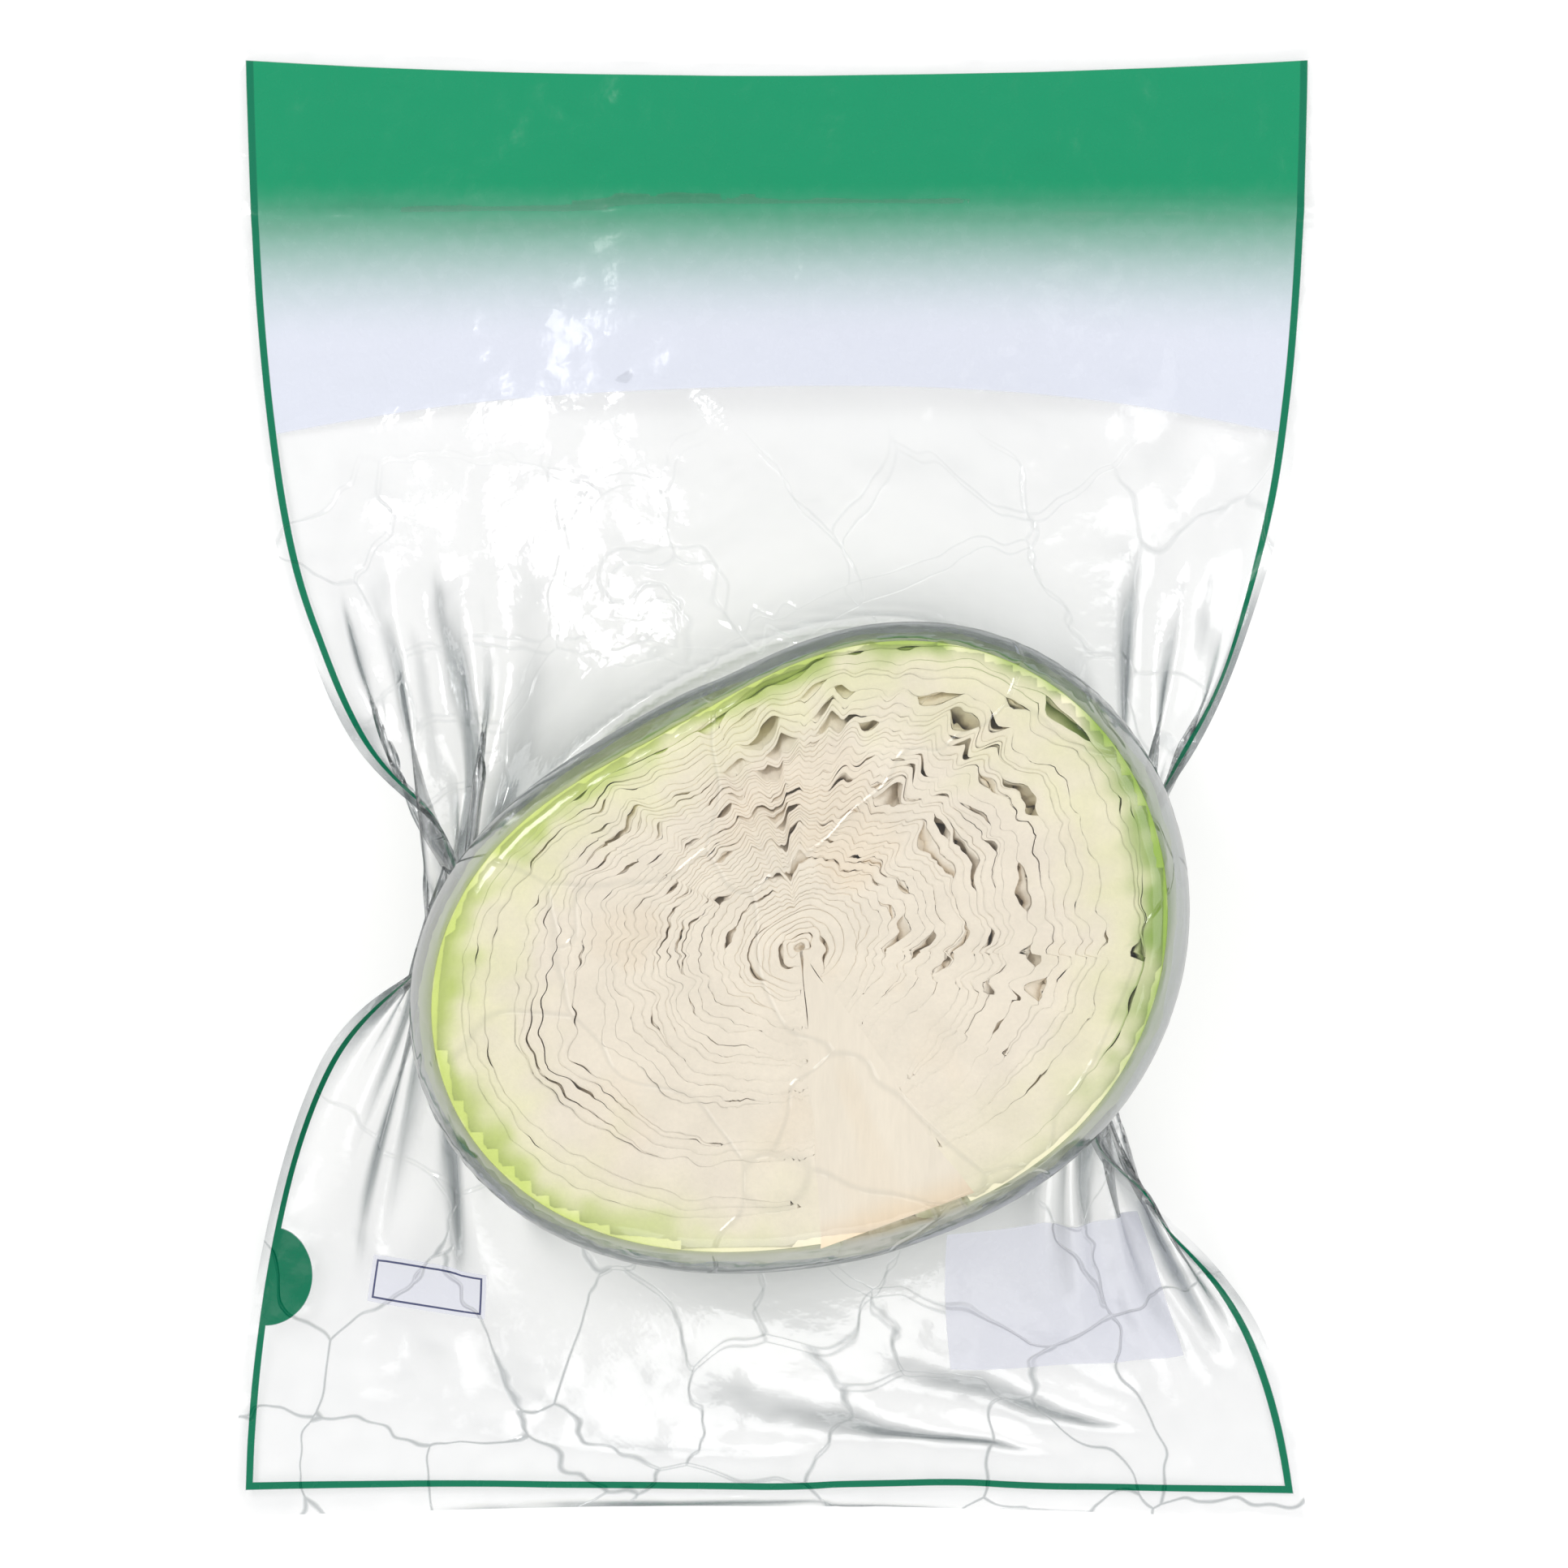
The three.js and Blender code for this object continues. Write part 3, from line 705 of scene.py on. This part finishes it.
def film_material(name, printed):
    """Clear film that mirrors a little, more at a glance, goes grey where seen edge-on and has painted shade
    along its creases, with ink where the sheet is printed.
    """
    material = bpy.data.materials.new(name)
    material.use_nodes = True
    tree = material.node_tree
    tree.nodes.remove(tree.nodes["Principled BSDF"])
    output = tree.nodes["Material Output"]
    flat = add_node(tree, "ShaderNodeUVMap", uv_map="flat").outputs["UV"]
    split = add_node(tree, "ShaderNodeSeparateXYZ", {"Vector": flat})
    across, down = split.outputs["X"], split.outputs["Y"]

    def math_node(operation, first, second=0.0, third=0.0):
        inputs = {0: first, 1: second, 2: third}
        return add_node(tree, "ShaderNodeMath", inputs, operation=operation).outputs[0]

    def ramp(value, start, end):
        inputs = {"Value": value, "From Min": start, "From Max": end}
        return add_node(tree, "ShaderNodeMapRange", inputs, interpolation_type="SMOOTHSTEP").outputs[0]

    crease_noise = add_node(
        tree, "ShaderNodeTexNoise", {"Vector": flat, "Scale": 0.03, "Detail": 2.0, "Distortion": 0.4}
    )
    fine_noise = add_node(tree, "ShaderNodeTexNoise", {"Vector": flat, "Scale": 0.2, "Detail": 2.0})
    drift = add_node(
        tree, "ShaderNodeVectorMath", {0: crease_noise.outputs["Color"], "Scale": 26.0}, operation="SCALE"
    )
    warped = add_node(tree, "ShaderNodeVectorMath", {0: flat, 1: drift.outputs[0]}, operation="ADD")
    cracks = add_node(
        tree,
        "ShaderNodeTexVoronoi",
        {"Vector": warped.outputs[0], "Scale": 0.022},
        feature="DISTANCE_TO_EDGE",
    ).outputs["Distance"]
    seam = math_node("SUBTRACT", 1.0, ramp(cracks, 0.0, 0.013))
    loose_part = math_node("MULTIPLY", ramp(down, 100, 130), 0.35)
    footer = math_node("MAXIMUM", ramp(down, 290, 335), loose_part)
    creased = math_node("MULTIPLY", seam, footer)
    height = math_node("MULTIPLY_ADD", creased, 0.9, crease_noise.outputs["Fac"])
    height = math_node("MULTIPLY_ADD", fine_noise.outputs["Fac"], 0.25, height)
    bump = add_node(tree, "ShaderNodeBump", {"Height": height, "Strength": 0.55, "Distance": 2.2 * MM})
    bump = bump.outputs[0]
    rub_range = {"From Min": 0.3, "From Max": 0.7, "To Min": 0.04, "To Max": 0.16}
    rub = add_node(tree, "ShaderNodeMapRange", {"Value": fine_noise.outputs["Fac"], **rub_range}).outputs[0]

    edge_on = add_node(tree, "ShaderNodeLayerWeight", {"Blend": 0.5}).outputs["Facing"]
    # Painted shade: the film's see-through colour goes grey along the crease lines. It also greys where the
    # film is seen edge-on, which draws steep folds as grey lines.
    edge_on_grey_and_painted_crease_shade = math_node("MAXIMUM", ramp(edge_on, 0.04, 0.75), math_node("MULTIPLY", creased, 0.45))
    film_grey_and_painted_crease_shade = add_node(
        tree,
        "ShaderNodeMix",
        {"Factor": edge_on_grey_and_painted_crease_shade, "A": (0.998, 0.998, 0.998, 1), "B": (0.5, 0.53, 0.54, 1)},
        data_type="RGBA",
    )
    clear = add_node(tree, "ShaderNodeBsdfTransparent", {"Color": film_grey_and_painted_crease_shade.outputs["Result"]})
    sheen = add_node(tree, "ShaderNodeBsdfAnisotropic", {"Roughness": rub, "Normal": bump})
    mirrored = math_node("MULTIPLY_ADD", math_node("POWER", edge_on, 2.0), 0.8, 0.05)
    surface = add_node(
        tree, "ShaderNodeMixShader", {"Fac": mirrored, 1: clear.outputs[0], 2: sheen.outputs[0]}
    ).outputs[0]
    if printed:
        inner_edge = math_node("MINIMUM", across, math_node("SUBTRACT", FLAT_WIDTH, across))
        up = math_node("SUBTRACT", FLAT_LENGTH, down)
        inner_edge = math_node("MINIMUM", inner_edge, math_node("SUBTRACT", up, 4.0))
        past_border = math_node("SUBTRACT", 1, ramp(inner_edge, 4.8, 5.1))
        border = math_node("MULTIPLY", ramp(inner_edge, 2.8, 3.1), past_border)
        border = math_node("MULTIPLY", border, ramp(down, 3.9, 4.2))
        from_middle = math_node("SUBTRACT", across, FLAT_WIDTH / 2)
        arch = math_node("POWER", math_node("DIVIDE", from_middle, FLAT_WIDTH / 2), 2.0)
        foot = math_node("SUBTRACT", down, math_node("MULTIPLY", arch, 8.0))
        header = math_node("MULTIPLY", ramp(down, 3.9, 4.2), math_node("SUBTRACT", 1, ramp(foot, 91.6, 92.2)))
        header = math_node("MULTIPLY", header, ramp(inner_edge, 2.8, 3.1))
        fade = ramp(math_node("MULTIPLY_ADD", fine_noise.outputs["Fac"], 3.0, down), 35, 80)
        ink = add_node(
            tree,
            "ShaderNodeMix",
            {"Factor": fade, "A": (0.0, 0.27, 0.12, 1), "B": (0.68, 0.71, 0.82, 1)},
            data_type="RGBA",
        )
        ink_thickness = math_node("MULTIPLY", header, math_node("MULTIPLY_ADD", fade, -0.2, 0.99))
        tab_x = math_node("SUBTRACT", across, 4.0)
        tab_y = math_node("SUBTRACT", down, FLAT_LENGTH - 62)
        tab_y_squared = math_node("MULTIPLY", tab_y, tab_y)
        tab_reach = math_node("SQRT", math_node("MULTIPLY_ADD", tab_x, tab_x, tab_y_squared))
        in_tab = math_node("SUBTRACT", 1, ramp(tab_reach, 12.6, 13.0))
        tab = math_node("MULTIPLY", in_tab, ramp(across, 2.8, 3.1))
        border = math_node("MAXIMUM", border, tab)

        def panel(left, top, wide, tall, tilt):
            """1 inside a printed panel of that size, and how far inside its nearest edge a place is."""
            shift_x = math_node("SUBTRACT", across, left + wide / 2)
            shift_y = math_node("SUBTRACT", down, top + tall / 2)
            cos, sin = math.cos(tilt), math.sin(tilt)
            turned_x = math_node("MULTIPLY_ADD", shift_x, cos, math_node("MULTIPLY", shift_y, sin))
            turned_y = math_node("MULTIPLY_ADD", shift_y, cos, math_node("MULTIPLY", shift_x, -sin))
            room_x = math_node("SUBTRACT", wide / 2, math_node("ABSOLUTE", turned_x))
            room_y = math_node("SUBTRACT", tall / 2, math_node("ABSOLUTE", turned_y))
            room = math_node("MINIMUM", room_x, room_y)
            return ramp(room, 0.0, 0.3), room

        blank, _ = panel(200, 318, 68, 44, 0.0)
        small_label, small_room = panel(34, 335, 35, 14, 0.05)
        past_line = math_node("SUBTRACT", 1, ramp(small_room, 1.8, 1.9))
        frame_line = math_node("MULTIPLY", ramp(small_room, 1.2, 1.3), past_line)
        blank_ink = math_node("MULTIPLY", blank, 0.8)
        white_ink = math_node("MAXIMUM", blank_ink, math_node("MULTIPLY", small_label, 0.9))
        cover = math_node("MAXIMUM", math_node("MAXIMUM", ink_thickness, border), white_ink)
        labelled = add_node(
            tree,
            "ShaderNodeMix",
            {"Factor": white_ink, "A": ink.outputs["Result"], "B": (0.74, 0.745, 0.82, 1)},
            data_type="RGBA",
        ).outputs["Result"]
        lined = add_node(
            tree,
            "ShaderNodeMix",
            {"Factor": frame_line, "A": labelled, "B": (0.01, 0.02, 0.12, 1)},
            data_type="RGBA",
        ).outputs["Result"]
        dark = add_node(
            tree,
            "ShaderNodeMix",
            {"Factor": border, "A": lined, "B": (0.0, 0.17, 0.085, 1)},
            data_type="RGBA",
        )
        paint = add_node(
            tree,
            "ShaderNodeBsdfPrincipled",
            {
                "Base Color": dark.outputs["Result"],
                "Roughness": math_node("ADD", rub, 0.15),
                "Specular IOR Level": 0.25,
                "Normal": bump,
            },
        )
        surface = add_node(
            tree, "ShaderNodeMixShader", {"Fac": cover, 1: surface, 2: paint.outputs[0]}
        ).outputs[0]
    tree.links.new(surface, output.inputs["Surface"])
    return material


for sheet, name, printed in ((film[0], "back_film", False), (film[1], "front_film", True)):
    rows, columns = sheet.shape[:2]
    faces = grid_faces(rows, columns, 0, flip=name == "back_film")
    white = np.ones((rows * columns, 3))
    piece = new_piece(
        f"{name}_sheet", sheet.reshape(-1, 3) * MM, faces, white, film_material(name, printed), name
    )
    u, v = np.meshgrid(np.linspace(0, FLAT_WIDTH, columns), np.linspace(FLAT_LENGTH, 0, rows))
    flat_map = piece.data.uv_layers.new(name="flat")
    corner = np.empty(len(piece.data.loops), int)
    piece.data.loops.foreach_get("vertex_index", corner)
    flat_map.data.foreach_set("uv", np.column_stack([u.ravel(), v.ravel()])[corner].ravel())


# ---------------------------------------------------------------------------------------------
# Studio
# A pale, softly glowing floor, soft lights and the camera, looking straight down on the bag.
# ---------------------------------------------------------------------------------------------

floor_mesh = bpy.data.meshes.new("floor")
floor_mesh.from_pydata([(-3, -3, 0), (3, -3, 0), (3, 3, 0), (-3, 3, 0)], [], [(0, 1, 2, 3)])
floor = bpy.data.objects.new("floor", floor_mesh)
bpy.context.scene.collection.objects.link(floor)
floor_material = bpy.data.materials.new("pale floor")
floor_material.use_nodes = True
floor_shader = floor_material.node_tree.nodes["Principled BSDF"]
floor_shader.inputs["Base Color"].default_value = (0.5, 0.5, 0.5, 1)
floor_shader.inputs["Emission Color"].default_value = (1, 1, 1, 1)
floor_shader.inputs["Emission Strength"].default_value = 0.55
floor_shader.inputs["Roughness"].default_value = 0.6
floor_mesh.materials.append(floor_material)


def area_light(name, place, size, power):
    data = bpy.data.lights.new(name, "AREA")
    data.size = size
    data.energy = power
    light = bpy.data.objects.new(name, data)
    light.location = place
    light.rotation_euler = (-Vector(place)).to_track_quat("-Z", "Y").to_euler()
    bpy.context.scene.collection.objects.link(light)


area_light("key", (-0.9, 0.8, 1.3), 0.5, 9)
area_light("fill", (1.1, 0.2, 1.2), 1.0, 6)
area_light("front", (0.1, -1.2, 1.0), 0.8, 3.5)

world = bpy.data.worlds.new("studio")
world.use_nodes = True
sky = world.node_tree
sky_spot = add_node(sky, "ShaderNodeTexCoord").outputs["Generated"]
sky_way = add_node(sky, "ShaderNodeSeparateXYZ", {"Vector": sky_spot})
sky_range = {"From Min": 0.0, "From Max": 0.75, "To Min": 0.15, "To Max": 0.9}
sky_light = add_node(sky, "ShaderNodeMapRange", {"Value": sky_way.outputs["Z"], **sky_range})
sky.links.new(sky_light.outputs[0], sky.nodes["Background"].inputs["Strength"])
sky.nodes["Background"].inputs["Color"].default_value = (1, 1, 1, 1)
bpy.context.scene.world = world

FRAME_WIDTH = 414.0
LENS = 250.0
SENSOR = 36.0
camera_data = bpy.data.cameras.new("camera")
camera_data.lens = LENS
camera_data.sensor_width = SENSOR
camera = bpy.data.objects.new("camera", camera_data)
camera.location = (2 * MM, 0.6 * MM, (FRAME_WIDTH * LENS / SENSOR + 60) * MM)
bpy.context.scene.collection.objects.link(camera)
bpy.context.scene.camera = camera
bpy.context.scene.view_settings.view_transform = "Standard"
